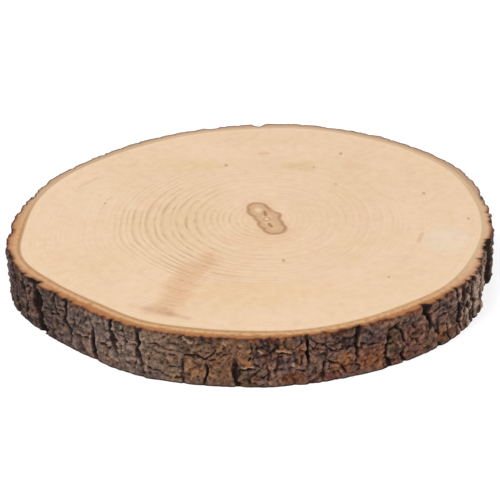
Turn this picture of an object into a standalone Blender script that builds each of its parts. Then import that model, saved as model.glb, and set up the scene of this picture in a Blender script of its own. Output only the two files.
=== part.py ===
"""Wood slice: a cross-cut of a pale hardwood trunk, sawn flat on both faces, with its furrowed bark on.

It grew as one piece, so it is one closed solid. Metres, +Z up. It lies on its underside, with the
origin under the middle of its outline. A bearing is in degrees, counter-clockwise from +X as seen
from above, about the point that the outline was laid out from. Bark sizes are listed in millimetres.
"""

import math
from collections import namedtuple

import bmesh
import bpy
import numpy as np

MM = 0.001

# Driving dimensions of the trunk
THICKNESS = 32 * MM
MEAN_RADIUS = 140 * MM
# Reach of the bark and of the wood under it, in mm, at even steps of bearing from +X
BARK_REACH = [147.5, 151, 153.5, 150.5, 146, 142.5, 138, 135, 134, 134.6, 138.4, 142.4,
              145.5, 147, 139.5, 132.5, 130, 126, 124.5, 125.5, 128.5, 134, 140, 143.2]
WOOD_REACH = [141.3, 144.3, 147, 144.3, 140.3, 137, 131.7, 129.7, 128.5, 130, 134, 136.8,
              137.3, 139.7, 130, 122.8, 121.2, 117.2, 116.2, 118.2, 120.6, 124.6, 132, 136.2]
# The trunk draws in towards the underside at its left front
DRAW_IN = 1.2 * MM
DRAW_IN_BEARING = 212
DRAW_IN_FALL = 8

# Bark furrows of the front, left to right, each with the plate on its right. A furrow has its bearing
# at the top face and at the foot, its width, and its depth near the top and at the foot. The plate is
# cracked across, from one height at its left to another at its right, to a depth.
Furrow = namedtuple("Furrow", "top foot width top_depth foot_depth crack_left crack_right crack_depth")
FRONT_FURROWS = [
    Furrow(192.5, 193.5, 3.2, 3.0, 3.0, 12, 14, 1.0),
    Furrow(197.0, 198.2, 3.0, 3.4, 3.0, 22, 20, 1.2),
    Furrow(201.8, 203.2, 2.8, 3.2, 2.2, 21, 20, 0.9),
    Furrow(206.8, 209.2, 7.6, 4.6, 4.8, 18, 21, 1.3),
    Furrow(214.6, 215.2, 1.8, 1.8, 0.5, 23, 22, 0.6),
    Furrow(217.8, 219.6, 3.6, 3.8, 1.2, 12, 13, 0.8),
    Furrow(226.4, 227.4, 3.0, 1.2, 3.0, 13, 14.5, 1.1),
    Furrow(232.8, 234.4, 4.0, 3.8, 0.3, 22.5, 21, 1.1),
    Furrow(240.2, 241.8, 3.0, 3.2, 1.0, 23, 21.5, 1.2),
    Furrow(252.1, 252.8, 2.0, 2.0, 1.9, 19, 18, 1.4),
    Furrow(258.8, 258.5, 1.8, 0.3, 2.4, 17.5, 22, 1.4),
    Furrow(266.0, 266.5, 3.6, 0.4, 2.8, 13, 12, 1.4),
    Furrow(271.4, 270.6, 2.0, 1.4, 0.3, 9, 10, 0.7),
    Furrow(274.4, 274.8, 1.6, 1.4, 1.2, 15, 16, 0.8),
    Furrow(277.0, 277.2, 2.0, 1.6, 0.8, 20, 19.5, 1.2),
    Furrow(281.4, 281.9, 1.8, 1.4, 0.8, 16, 15, 0.9),
    Furrow(284.2, 285.6, 2.4, 2.6, 2.6, 21.5, 20, 1.0),
    Furrow(289.8, 289.0, 1.8, 1.0, 1.4, 21, 19.5, 1.3),
    Furrow(298.0, 298.4, 3.8, 2.8, 0.6, 17, 16, 1.2),
    Furrow(306.6, 307.0, 2.8, 1.8, 3.2, 24, 22.5, 1.0),
    Furrow(310.0, 312.0, 2.2, 0.8, 2.4, 17, 18, 0.9),
    Furrow(315.0, 315.6, 1.6, 0.4, 2.2, 10, 9, 0.9),
    Furrow(318.4, 320.2, 3.4, 3.8, 0.8, 14, 12, 0.9),
    Furrow(322.0, 323.0, 2.2, 0.4, 2.8, 20, 21, 1.0),
    Furrow(325.6, 326.6, 1.8, 1.4, 1.8, 13, 15, 0.8),
    Furrow(329.6, 331.4, 2.2, 2.4, 2.4, 20, 18, 0.9),
    Furrow(333.2, 334.8, 2.0, 2.6, 2.6, 10, 12, 0.7),
    Furrow(336.4, 337.8, 2.0, 2.8, 2.6, 22, 20, 0.8),
    Furrow(339.6, 341.0, 1.8, 2.6, 2.2, 15, 13, 0.8),
    Furrow(344.2, 345.0, 2.0, 2.6, 2.4, 20, 18, 0.8),
    Furrow(351.6, 351.8, 10.5, 4.8, 4.8, 18, 16, 0.6),
]
# Round the back the furrows are drawn at random, at the spacing and size of those in front
BACK_FROM = 357.0
BACK_TO = 549.0
BACK_SEED = 41
BACK_SPACING = (4.4, 7.4)
BACK_LEAN = (-0.6, 1.6)
BACK_WIDTH = (1.8, 3.8)
BACK_DEPTH = (0.8, 2.8)
BACK_CRACK_HEIGHT = (9, 23)
BACK_CRACK_DEPTH = (0.5, 1.4)

# Places where the outer bark has come off: bearing, height, width, tallness and depth, in mm
Shed = namedtuple("Shed", "bearing height width tallness depth")
SHED_BARK = [
    Shed(87.5, 16, 13, 60, 2.6),
    Shed(100.5, 16, 15, 60, 2.0),
    Shed(280.6, 4.5, 16, 9, 1.2),
    Shed(283.2, 20.5, 5, 9, 0.9),
    Shed(295.5, 8, 13, 11, 0.7),
    Shed(302.2, 9, 15, 17, 1.1),
    Shed(323.8, 6.5, 11, 9, 1.1),
]

# A furrow's mouth against its width at half depth, and the share of the mouth that its floor takes
MOUTH = 1.45
FURROW_FLOOR = 0.3
# The share of a furrow's depth that is left at the sawn upper rim, and how far down it takes hold
RIM_SHARE = 0.55
RIM_REACH = 4 * MM
# Make of the bark's surface
WIDE_FURROW = 5
FURROW_SWAY = 0.8 * MM
SWAY_LENGTH = 23 * MM
LIP_DROP = 0.7 * MM
LIP_REACH = 1.6 * MM
CRACK_HALF_WIDTH = 1.1 * MM
CRACK_WAVER = 0.9 * MM
SWELL_SIZE = 15 * MM
SWELL_RISE = 0.8 * MM
KNOB_SIZE = 5 * MM
KNOB_RISE = 0.4 * MM
DEEPEST_SHARE = 0.72

# Vertices of the bark's side
COLUMN_GAP = 3.2 * MM
RIM_ROW = 1.4 * MM
LOW_ROW = 1
CRACK_ROW = 5
HIGH_ROW = 8
TOP_ROW = 9

WOOD_COLOUR = (0.82, 0.61, 0.41)
BARK_COLOUR = (0.115, 0.075, 0.055)


def clear_scene():
    for item in list(bpy.data.objects):
        bpy.data.objects.remove(item, do_unlink=True)


def make_finish(name, colour, roughness):
    material = bpy.data.materials.new(name)
    material.use_nodes = True
    shader = material.node_tree.nodes["Principled BSDF"]
    shader.inputs["Base Color"].default_value = (*colour, 1)
    shader.inputs["Roughness"].default_value = roughness
    shader.inputs["Metallic"].default_value = 0
    return material


def smooth(share):
    share = np.clip(share, 0, 1)
    return share * share * (3 - 2 * share)


def degrees_of(length):
    """The bearing that a length along the bark spans."""
    return np.degrees(length / MEAN_RADIUS)


def arc_between(bearing, other):
    """Length along the bark from one bearing to another, the short way."""
    turn = np.mod(np.asarray(other) - bearing + 180, 360) - 180
    return np.radians(turn) * MEAN_RADIUS


def reach(radii, bearing):
    """A closed outline through radii at even bearings, as a smooth curve."""
    radii = np.asarray(radii) * MM
    place = np.mod(bearing, 360) / 360 * len(radii)
    step = np.floor(place).astype(int)
    part = place - step
    before, here, there, after = (radii[(step + k) % len(radii)] for k in (-1, 0, 1, 2))
    bend = 2 * before - 5 * here + 4 * there - after + part * (3 * (here - there) + after - before)
    return here + 0.5 * part * (there - before + part * bend)


def grain(bearing, height, size, seed):
    """Smooth seeded noise from -1 to 1, in cells of one size, closed round the slice."""
    across = round(math.tau * MEAN_RADIUS / size)
    up = math.ceil(THICKNESS / size) + 2
    knots = np.random.default_rng(seed).uniform(-1, 1, (up, across))
    column = np.mod(bearing, 360) / 360 * across
    row = np.asarray(height) / size
    i = np.floor(column).astype(int)
    j = np.floor(row).astype(int)
    u = smooth(column - i)
    v = smooth(row - j)
    low = knots[j, i % across] * (1 - u) + knots[j, (i + 1) % across] * u
    high = knots[j + 1, i % across] * (1 - u) + knots[j + 1, (i + 1) % across] * u
    return low * (1 - v) + high * v


def draw_back_furrows():
    draw = np.random.default_rng(BACK_SEED)
    furrows = []
    bearing = BACK_FROM
    while bearing < BACK_TO:
        furrows.append(Furrow(
            bearing,
            bearing + draw.uniform(*BACK_LEAN),
            draw.uniform(*BACK_WIDTH),
            draw.uniform(*BACK_DEPTH),
            draw.uniform(*BACK_DEPTH),
            draw.uniform(*BACK_CRACK_HEIGHT),
            draw.uniform(*BACK_CRACK_HEIGHT),
            draw.uniform(*BACK_CRACK_DEPTH),
        ))
        bearing += draw.uniform(*BACK_SPACING)
    return furrows


def furrow_bearing(index, height):
    """Where a furrow's floor runs: from its foot to its top, swaying a little."""
    furrow = FURROWS[index]
    sway = FURROW_SWAY * np.sin(math.tau * np.asarray(height) / SWAY_LENGTH + 2.4 * index)
    return furrow.foot + (furrow.top - furrow.foot) * height / THICKNESS + degrees_of(sway)


def plate_lips():
    """Bearings of both lips of every plate at mid-height, with its crack's height and depth there."""
    lips = []
    for index, furrow in enumerate(FURROWS):
        following = (index + 1) % len(FURROWS)
        here = furrow_bearing(index, THICKNESS / 2)
        gap = arc_between(here, furrow_bearing(following, THICKNESS / 2))
        near = min(furrow.width * MOUTH * MM / 2 / gap, 0.35)
        far = 1 - min(FURROWS[following].width * MOUTH * MM / 2 / gap, 0.35)
        lips.append((here + degrees_of(near * gap), furrow.crack_left, furrow.crack_depth))
        lips.append((here + degrees_of(far * gap), furrow.crack_right, furrow.crack_depth))
    return np.array(lips)


def crack_height(bearing):
    waver = CRACK_WAVER * grain(bearing, THICKNESS / 2, KNOB_SIZE, seed=7)
    return np.interp(bearing, LIPS[:, 0], LIPS[:, 1], period=360) * MM + waver


def crack_depth(bearing):
    return np.interp(bearing, LIPS[:, 0], LIPS[:, 2], period=360) * MM


def bark_depth(bearing, height):
    """How far the bark's surface lies inside its reach."""
    depth = SWELL_RISE * (1 + grain(bearing, height, SWELL_SIZE, seed=3)) / 2
    depth += KNOB_RISE * (1 + grain(bearing, height, KNOB_SIZE, seed=5)) / 2
    for shed in SHED_BARK:
        across = arc_between(shed.bearing, bearing) / (shed.width * MM / 2)
        up = (height - shed.height * MM) / (shed.tallness * MM / 2)
        depth += shed.depth * MM * (1 - smooth(2 * np.hypot(across, up) - 1))
    share = smooth((height / THICKNESS - 0.2) / 0.6)
    cut = np.zeros_like(depth)
    for index, furrow in enumerate(FURROWS):
        away = np.abs(arc_between(furrow_bearing(index, height), bearing))
        half = furrow.width * MOUTH * MM / 2
        full = (furrow.foot_depth + (furrow.top_depth - furrow.foot_depth) * share) * MM
        wall = 1 - smooth((away / half - FURROW_FLOOR) / (1 - FURROW_FLOOR))
        lip = LIP_DROP * np.exp(-np.maximum(away - half, 0) / LIP_REACH)
        cut = np.maximum(cut, np.maximum(full * wall, lip * full / (full + LIP_DROP)))
    rise = np.abs(height - crack_height(bearing)) / CRACK_HALF_WIDTH
    cut = np.maximum(cut, crack_depth(bearing) * (1 - smooth(rise)))
    cut *= 1 - (1 - RIM_SHARE) * smooth(1 - (THICKNESS - height) / RIM_REACH)
    most = DEEPEST_SHARE * (reach(BARK_REACH, bearing) - reach(WOOD_REACH, bearing))
    return np.minimum(depth + cut, most)


def draw_in(bearing, height):
    toward = np.cos(np.radians(bearing - DRAW_IN_BEARING)).clip(0) ** DRAW_IN_FALL
    return DRAW_IN * toward * (1 - height / THICKNESS)


def outline_centre():
    """Middle of the outline's box, which the origin is put under."""
    turn = np.arange(0, 360, 0.25)
    edge = reach(BARK_REACH, turn) * np.array([np.cos(np.radians(turn)), np.sin(np.radians(turn))])
    return (edge.max(axis=1) + edge.min(axis=1)) / 2


def lay_columns():
    """Upright lines of vertices: on each furrow's floor and lips, and spread over each plate.

    Each is a furrow's index and a share of the way from its floor to the next furrow's floor.
    """
    columns = []
    for index, furrow in enumerate(FURROWS):
        following = (index + 1) % len(FURROWS)
        here = furrow_bearing(index, THICKNESS / 2)
        gap = arc_between(here, furrow_bearing(following, THICKNESS / 2))
        near = arc_between(here, LIPS[2 * index, 0]) / gap
        far = arc_between(here, LIPS[2 * index + 1, 0]) / gap
        shares = [0.0, *np.linspace(near, far, max(1, round((far - near) * gap / COLUMN_GAP)) + 1)]
        if furrow.width > WIDE_FURROW:
            shares.insert(1, FURROW_FLOOR * near)
        if FURROWS[following].width > WIDE_FURROW:
            shares.append(1 - FURROW_FLOOR * (1 - far))
        columns.extend((index, share) for share in shares)
    return columns


def column_bearing(index, share, height):
    """A column's bearing at a height: it follows the furrows on either side of it."""
    here = furrow_bearing(index, height)
    following = furrow_bearing((index + 1) % len(FURROWS), height)
    return here + share * np.mod(following - here, 360)


def row_heights(crack):
    """Rows bend to follow each plate's crack, with one on its floor and one at each lip."""
    rows = [0, LOW_ROW, CRACK_ROW - 1, CRACK_ROW, CRACK_ROW + 1, HIGH_ROW, TOP_ROW]
    heights = [0, RIM_ROW, crack - CRACK_HALF_WIDTH, crack, crack + CRACK_HALF_WIDTH,
               THICKNESS - RIM_ROW, THICKNESS]
    return np.interp(np.arange(TOP_ROW + 1), rows, heights)


def column_points(index, share):
    """The vertices of one column, from the underside up."""
    height = row_heights(crack_height(column_bearing(index, share, THICKNESS / 2)))
    bearing = column_bearing(index, share, height)
    radius = reach(BARK_REACH, bearing) - bark_depth(bearing, height) - draw_in(bearing, height)
    angle = np.radians(bearing)
    return np.stack([
        radius * np.cos(angle) - CENTRE[0],
        radius * np.sin(angle) - CENTRE[1],
        height,
    ], axis=1)


def make_slice():
    points = [column_points(index, share) for index, share in lay_columns()]
    bpy.ops.mesh.primitive_cylinder_add(
        vertices=len(points), radius=MEAN_RADIUS, depth=THICKNESS,
        end_fill_type="NGON", location=(0, 0, 0))
    piece = bpy.context.object
    piece.name = "wood_slice"
    piece.data.name = "wood_slice"
    shape = bmesh.new()
    shape.from_mesh(piece.data)
    bmesh.ops.translate(shape, verts=shape.verts, vec=(0, 0, THICKNESS / 2))
    for row in range(1, TOP_ROW):
        bmesh.ops.bisect_plane(
            shape, geom=shape.verts[:] + shape.edges[:] + shape.faces[:],
            plane_co=(0, 0, THICKNESS * row / TOP_ROW), plane_no=(0, 0, 1))
    for vertex in shape.verts:
        turn = math.atan2(vertex.co.y, vertex.co.x) - math.pi / 2
        column = round(turn / math.tau * len(points)) % len(points)
        row = round(vertex.co.z / THICKNESS * TOP_ROW)
        vertex.co = points[column][row]
    shape.normal_update()
    for face in shape.faces:
        face.material_index = 0 if abs(face.normal.z) > 0.99 and len(face.verts) > 4 else 1
    shape.to_mesh(piece.data)
    shape.free()
    piece.data.materials.append(make_finish("sawn_wood", WOOD_COLOUR, 0.62))
    piece.data.materials.append(make_finish("rough_bark", BARK_COLOUR, 0.92))
    piece.data.shade_smooth()
    piece.data.set_sharp_from_angle(angle=math.radians(50))
    return piece


def put_in_collection(piece):
    collection = bpy.data.collections.new("wood_slice")
    bpy.context.scene.collection.children.link(collection)
    for other in list(piece.users_collection):
        other.objects.unlink(piece)
    collection.objects.link(piece)


FURROWS = FRONT_FURROWS + draw_back_furrows()
LIPS = plate_lips()
CENTRE = outline_centre()

clear_scene()
put_in_collection(make_slice())
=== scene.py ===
import math
from collections import namedtuple

import bpy
import numpy as np
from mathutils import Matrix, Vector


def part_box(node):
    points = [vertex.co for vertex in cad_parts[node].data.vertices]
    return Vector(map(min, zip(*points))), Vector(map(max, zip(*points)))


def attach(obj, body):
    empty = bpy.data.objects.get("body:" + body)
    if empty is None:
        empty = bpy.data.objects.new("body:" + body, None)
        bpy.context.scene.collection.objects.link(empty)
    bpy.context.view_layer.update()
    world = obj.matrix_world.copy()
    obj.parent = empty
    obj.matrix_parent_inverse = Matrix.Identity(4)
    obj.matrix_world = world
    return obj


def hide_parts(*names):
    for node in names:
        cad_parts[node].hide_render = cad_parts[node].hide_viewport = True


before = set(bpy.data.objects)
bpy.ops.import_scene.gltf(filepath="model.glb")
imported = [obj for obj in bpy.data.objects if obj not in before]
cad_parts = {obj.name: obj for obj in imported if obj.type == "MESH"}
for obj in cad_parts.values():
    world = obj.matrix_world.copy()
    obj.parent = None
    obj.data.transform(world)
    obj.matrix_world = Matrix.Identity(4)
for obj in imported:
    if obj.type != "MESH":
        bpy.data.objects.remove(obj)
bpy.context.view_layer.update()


# The sawn wood
# Pale, close-grained sapwood round a small pith, cross-cut from the trunk and sanded smooth on both
# faces. Its year rings are round near the pith and take the trunk's own outline further out.

MM = 0.001
low_corner, high_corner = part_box("wood_slice")
THICKNESS = high_corner.z - low_corner.z
MEAN_RADIUS = 140 * MM
# Reach of the bark and of the wood under it, in mm, at even steps of bearing from +X
BARK_REACH = [147.5, 151, 153.5, 150.5, 146, 142.5, 138, 135, 134, 134.6, 138.4, 142.4,
              145.5, 147, 139.5, 132.5, 130, 126, 124.5, 125.5, 128.5, 134, 140.4, 144.6]
WOOD_REACH = [141.3, 144.3, 147, 144.3, 140.3, 137, 131.7, 129.7, 128.5, 130, 134, 136.8,
              137.3, 139.7, 130, 122.8, 121.2, 117.2, 116.2, 118.2, 120.6, 124.6, 132, 136.2]
PITH = np.array([10.3, 10.1]) * MM
# Year rings: how far each lies from the pith towards its left, in mm, and how dark it is
YEAR_RINGS = [(3, 0.2), (6, 0.3), (9.5, 0.3), (13, 0.35), (17.5, 0.35), (21.3, 0.4), (25.9, 0.4), (30, 0.3),
              (33.4, 0.4), (37.8, 0.4), (42.4, 0.5), (48.7, 0.8), (54.2, 0.9), (60.4, 0.8), (63.9, 0.9),
              (69.8, 0.95), (73.7, 0.8), (79.2, 0.9), (82.2, 0.8), (87, 0.75), (90.4, 0.5), (94, 0.35),
              (97.6, 0.25), (101, 0.1), (104.6, 0.12), (108, 0.22), (111.4, 0.08), (114.6, 0.15), (118, 0.06),
              (121.2, 0.1), (124.2, 0.06), (127.4, 0.22), (130.4, 0.06), (133.4, 0.06), (136.2, 0.1),
              (139, 0.06), (141.8, 0.06), (144.4, 0.06), (147, 0.04)]
LEFT_REACH = 149.5
# So many loops of the mesh lie within this distance of the pith, and one on each year ring beyond it
PITH_LOOPS = 14
PITH_FIELD = 14 * MM
SECTORS = 480
# The rings are round up to this share of the way out, and stand a little nearer together there
ROUND_SHARE = 0.15
ROUND_REACH = 0.92
WOOD_SHARP_ANGLE = 40
SAME_PLACE = 1e-6


def smooth(share):
    share = np.clip(share, 0, 1)
    return share * share * (3 - 2 * share)


def reach(radii, bearing):
    """A closed outline through radii at even bearings, as a smooth curve."""
    radii = np.asarray(radii) * MM
    place = np.mod(bearing, 360) / 360 * len(radii)
    step = np.floor(place).astype(int)
    part = place - step
    before, here, there, after = (radii[(step + k) % len(radii)] for k in (-1, 0, 1, 2))
    bend = 2 * before - 5 * here + 4 * there - after + part * (3 * (here - there) + after - before)
    return here + 0.5 * part * (there - before + part * bend)


def outline_centre():
    """Middle of the bark outline's box, which the row's origin lies under."""
    turn = np.arange(0, 360, 0.25)
    edge = reach(BARK_REACH, turn) * np.array([np.cos(np.radians(turn)), np.sin(np.radians(turn))])
    return (edge.max(axis=1) + edge.min(axis=1)) / 2


CENTRE = outline_centre()


def cambium_from_pith(angle):
    """How far the wood reaches from the pith, at an angle in radians round the pith."""
    far = np.full_like(angle, MEAN_RADIUS)
    for _ in range(30):
        x = PITH[0] + far * np.cos(angle)
        y = PITH[1] + far * np.sin(angle)
        far = far + reach(WOOD_REACH, np.degrees(np.arctan2(y, x))) - np.hypot(x, y)
    return far


def store(mesh, name, values):
    """Keeps one number for each vertex, for a finish to read."""
    layer = mesh.attributes.new(name, "FLOAT", "POINT")
    layer.data.foreach_set("value", np.asarray(values, dtype=np.float32).ravel())


def store_colour(mesh, name, values):
    """Keeps one colour for each vertex, for a finish to read."""
    layer = mesh.attributes.new(name, "FLOAT_COLOR", "POINT")
    layer.data.foreach_set("color", np.asarray(values, dtype=np.float32).ravel())


def clean_up(angle):
    """Merges seams and poles, turns every face outwards and shades what is not a sharp edge smooth."""
    bpy.ops.object.mode_set(mode="EDIT")
    bpy.ops.mesh.select_all(action="SELECT")
    bpy.ops.mesh.remove_doubles(threshold=SAME_PLACE)
    bpy.ops.mesh.normals_make_consistent(inside=False)
    bpy.ops.object.mode_set(mode="OBJECT")
    bpy.ops.object.shade_smooth_by_angle(angle=math.radians(angle))


def make_sawn_wood():
    distances = np.array([ring[0] for ring in YEAR_RINGS] + [LEFT_REACH]) * MM
    marks = np.array([ring[1] for ring in YEAR_RINGS] + [0.0])
    years = np.arange(1, len(distances) + 1)
    loops = np.unique(np.round(np.concatenate([
        [0], np.linspace(0, PITH_FIELD, PITH_LOOPS + 1)[1:], distances[distances > PITH_FIELD]]), 6))
    along = np.concatenate([loops, loops[::-1]])
    is_under = np.arange(len(along)) >= len(loops)

    bpy.ops.object.select_all(action="DESELECT")
    bpy.ops.mesh.primitive_grid_add(x_subdivisions=SECTORS, y_subdivisions=len(along) - 1, size=2)
    wood = bpy.context.object
    wood.name = "sawn_wood"
    place = np.empty(len(wood.data.vertices) * 3)
    wood.data.vertices.foreach_get("co", place)
    place = place.reshape(-1, 3)
    angle = (place[:, 0] + 1) * math.pi
    row = np.round((place[:, 1] + 1) / 2 * (len(along) - 1)).astype(int)
    distance = along[row]
    share = distance / distances[-1]
    outward = smooth((share - ROUND_SHARE) / (1 - ROUND_SHARE))
    cambium = cambium_from_pith(angle)
    ring_radius = share * (distances[-1] * ROUND_REACH * (1 - outward) + cambium * outward)
    x = PITH[0] + ring_radius * np.cos(angle)
    y = PITH[1] + ring_radius * np.sin(angle)
    z = np.where(is_under[row], 0.0, THICKNESS)
    points = np.stack([x - CENTRE[0], y - CENTRE[1], z], axis=1)
    wood.data.vertices.foreach_set("co", points.ravel())
    store(wood.data, "year", np.interp(distance, np.append(0, distances), np.append(0, years)))
    store(wood.data, "mark", np.interp(distance, np.append(0, distances), np.append(0.2, marks)))
    store(wood.data, "grown", distance / MM)
    store(wood.data, "to_bark", (cambium - ring_radius) / MM)
    clean_up(WOOD_SHARP_ANGLE)
    return wood


class Wire:
    """The value on a socket, which Python's own signs do arithmetic on."""

    def __init__(self, finish, socket):
        self.finish = finish
        self.socket = socket

    def math(self, operation, *others):
        return self.finish.add("Math", {"operation": operation}, {
            index: value for index, value in enumerate((self, *others))})

    def __add__(self, other):
        return self.math("ADD", other)

    def __sub__(self, other):
        return self.math("SUBTRACT", other)

    def __mul__(self, other):
        return self.math("MULTIPLY", other)

    def __truediv__(self, other):
        return self.math("DIVIDE", other)

    def __rsub__(self, other):
        return self.finish.add("Math", {"operation": "SUBTRACT"}, {0: other, 1: self})

    def __abs__(self):
        return self.math("ABSOLUTE")

    __radd__ = __add__
    __rmul__ = __mul__

    def rise(self, start, end):
        """0 below start, 1 above end and a smooth step between, either way round."""
        return self.finish.add("MapRange", {"interpolation_type": "SMOOTHSTEP"}, {
            "Value": self, "From Min": start, "From Max": end})


class Finish:
    """A material of the slice, built up node by node."""

    def __init__(self, name):
        self.material = bpy.data.materials.new(name)
        self.material.use_nodes = True
        self.tree = self.material.node_tree
        self.shader = self.tree.nodes["Principled BSDF"]

    def add(self, kind, settings, inputs, output=0):
        """Adds a node: its settings first, then a value or a link for each input, and gives an output."""
        node = self.tree.nodes.new("ShaderNode" + kind)
        for key, value in settings.items():
            setattr(node, key, value)
        sockets = {socket.identifier: socket for socket in node.inputs}
        for key, value in inputs.items():
            socket = node.inputs[key] if isinstance(key, int) else sockets.get(key) or node.inputs[key]
            if isinstance(value, Wire):
                self.tree.links.new(value.socket, socket)
            else:
                socket.default_value = value
        return Wire(self, node.outputs[output])

    def mix(self, share, first, second, blend="MIX"):
        """The first colour where the share is 0, and the second where it is 1."""
        return self.add("Mix", {"data_type": "RGBA", "blend_type": blend}, {
            "Factor_Float": share, "A_Color": first, "B_Color": second}, "Result")

    def noise(self, place, size, detail=3.0, roughness=0.5):
        """Noise about a place in mm, in lumps of about a size in mm."""
        return self.add("TexNoise", {}, {
            "Vector": place, "Scale": 1 / size, "Detail": detail, "Roughness": roughness}, "Fac")

    def stored(self, name):
        """A number that the mesh keeps for each vertex."""
        return self.add("Attribute", {"attribute_name": name}, {}, "Fac")

    def vector(self, operation, *inputs, output="Vector", **named):
        """Arithmetic on places, each a link or three numbers."""
        return self.add("VectorMath", {"operation": operation}, {**dict(enumerate(inputs)), **named}, output)

    def part(self, place, axis):
        """A place's share along X, Y or Z."""
        return self.add("SeparateXYZ", {}, {"Vector": place}, axis)

    def place(self):
        """Where a point lies, in mm, from the point that the outline was laid out from."""
        spot = self.add("TexCoord", {}, {}, "Object")
        return self.vector("MULTIPLY_ADD", spot, (1 / MM, 1 / MM, 1 / MM), (*(CENTRE / MM), 0))

    def feed(self, socket, value):
        """Sets or links one of the shader's own inputs."""
        if isinstance(value, Wire):
            self.tree.links.new(value.socket, self.shader.inputs[socket])
        else:
            self.shader.inputs[socket].default_value = value

    def bump(self, layers):
        """Bumps on bumps: a height from 0 to 1, its depth in mm and its strength, coarse first."""
        normal = None
        for height, depth, strength in layers:
            inputs = {"Height": height, "Distance": depth * MM, "Strength": strength}
            if normal is not None:
                inputs["Normal"] = normal
            normal = self.add("Bump", {}, inputs, "Normal")
        self.feed("Normal", normal)


def shade(code):
    """A colour as screens show it, such as ecd0b0, as the shader's own numbers."""
    parts = [int(code[k:k + 2], 16) / 255 for k in (0, 2, 4)]
    return (*(p / 12.92 if p <= 0.04045 else ((p + 0.055) / 1.055) ** 2.4 for p in parts), 1)


# Dark pin knots, in mm from the layout point, and the radius of each
PIN_KNOTS = [(-15.4, 80.4, 1.3), (59.1, 96.8, 1.3), (41, 78, 0.8), (109.2, 42.9, 1.2), (134.1, 10.8, 1.0),
             (19.8, -39.4, 1.2), (81, -58.4, 0.8), (-90.3, 30, 0.7), (54.5, 55.3, 0.8)]
# The stain round the pith: the middle and the radius of each of its lobes
STAIN_LOBES = [(4.6, 24.6, 6.5), (5.8, 20.1, 7.6), (10.5, 13.0, 8.2),
               (15.9, 15.2, 3.4), (12.5, 4.7, 8.0), (14.9, -1.1, 7.5)]
# A pale spot in its rear lobe, and a pale dot in front of the pith
PALE_SPOT = (5.0, 21.8)
SECOND_DOT = (9.9, 5.3)
# Drying checks by the pith, each from one point to another
PITH_CHECKS = [((9.1, 19.6), (9.6, 15.0)), ((11.6, 4.4), (13.2, 1.0))]
# Late wood is darkest in the rings on this side of the pith
DARKEST_SIDE = (-0.93, -0.37, 0)
# Soft fields of another tint: middle, half width and half depth in mm, strength and colour
TINTED_FIELDS = [((-32, 80), (22, 9), 0.5, "e3c48d"), ((32, 79), (11, 8), 0.6, "dcbb84"),
                 ((-6, -76), (62, 17), 0.4, "ecc592"), ((118, -14), (17, 17), 0.6, "edddc8"),
                 ((119, 48), (26, 34), 0.5, "f2cfb0"), ((10, 100), (70, 12), 0.5, "f3d3b6"),
                 ((-104, 40), (34, 36), 0.5, "efd6b6"), ((67, 78), (12, 6), 0.35, "e2b793"),
                 ((8.9, 97), (7, 2.2), 0.5, "d9a878"), ((14, -12), (24, 12), 0.4, "ecbf9c"),
                 ((-42, 4), (30, 24), 0.35, "e2c498")]
# A reddish smear, as points from the rings towards the bark, with its half width at each
SMEAR = [(-26, -36, 5), (-30, -45, 8), (-35, -56, 9), (-43, -75, 6.5), (-46, -90, 7.5)]
# Thin dark strokes in the wood: from one point to another, the half width in mm and the strength
STROKES = [((104.4, -7.5), (101.4, -17.0), 1.4, 0.26), ((-108, 51), (-97.5, 63), 1.6, 0.16),
           ((-68, -89.5), (-57, -93.5), 2.4, 0.14), ((-57, -93.5), (-46, -98), 4.6, 0.34),
           ((-46, -98), (-35, -103), 2.2, 0.3)]


def from_segment(finish, plan, start, end):
    """How far a place lies from the line between two points, in mm, and its share of the way along."""
    run = np.subtract(end, start)
    offset = finish.vector("SUBTRACT", plan, (*start, 0))
    forth = finish.vector("DOT_PRODUCT", offset, (*(run / float(run @ run)), 0), output="Value")
    forth = forth.math("MAXIMUM", 0.0).math("MINIMUM", 1.0)
    back = finish.vector("SCALE", (*map(float, run), 0), Scale=forth)
    return finish.vector("DISTANCE", offset, back, output="Value"), forth


def along_rings(finish, about, grown, detail=3.0):
    """Noise that is drawn out along the rings or across them."""
    return finish.add("TexNoise", {"noise_dimensions": "4D"}, {
        "Vector": about, "W": grown, "Scale": 1.0, "Detail": detail}, "Fac")


def lay_ground(finish, place, plan, to_bark):
    """The wood's own colour, with slow drifts over the face to yellower, pinker and paler fields."""
    colour = finish.mix(finish.noise(place, 42, 2).rise(0.35, 0.68), shade("eccda9"), shade("f0d1b1"))
    pinker = finish.noise(finish.vector("ADD", place, (310, 70, 0)), 26, 3)
    colour = finish.mix(pinker.rise(0.48, 0.72) * 0.6, colour, shade("edc8aa"))
    yellower = finish.noise(finish.vector("ADD", place, (-90, 210, 0)), 22, 3)
    colour = finish.mix(yellower.rise(0.52, 0.76) * 0.4, colour, shade("ebca9c"))
    soft = finish.noise(plan, 13, 3) * 0.9 - 0.45
    for middle, half, strength, tint in TINTED_FIELDS:
        offset = finish.vector("SUBTRACT", plan, (*middle, 0))
        offset = finish.vector("DIVIDE", offset, (*half, 1))
        away = finish.vector("LENGTH", offset, output="Value") + soft
        colour = finish.mix(away.rise(1.3, 0.3) * strength, colour, shade(tint))
    return finish.mix(to_bark.rise(20, 4) * 0.4, colour, shade("f2d4b2"))


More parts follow.
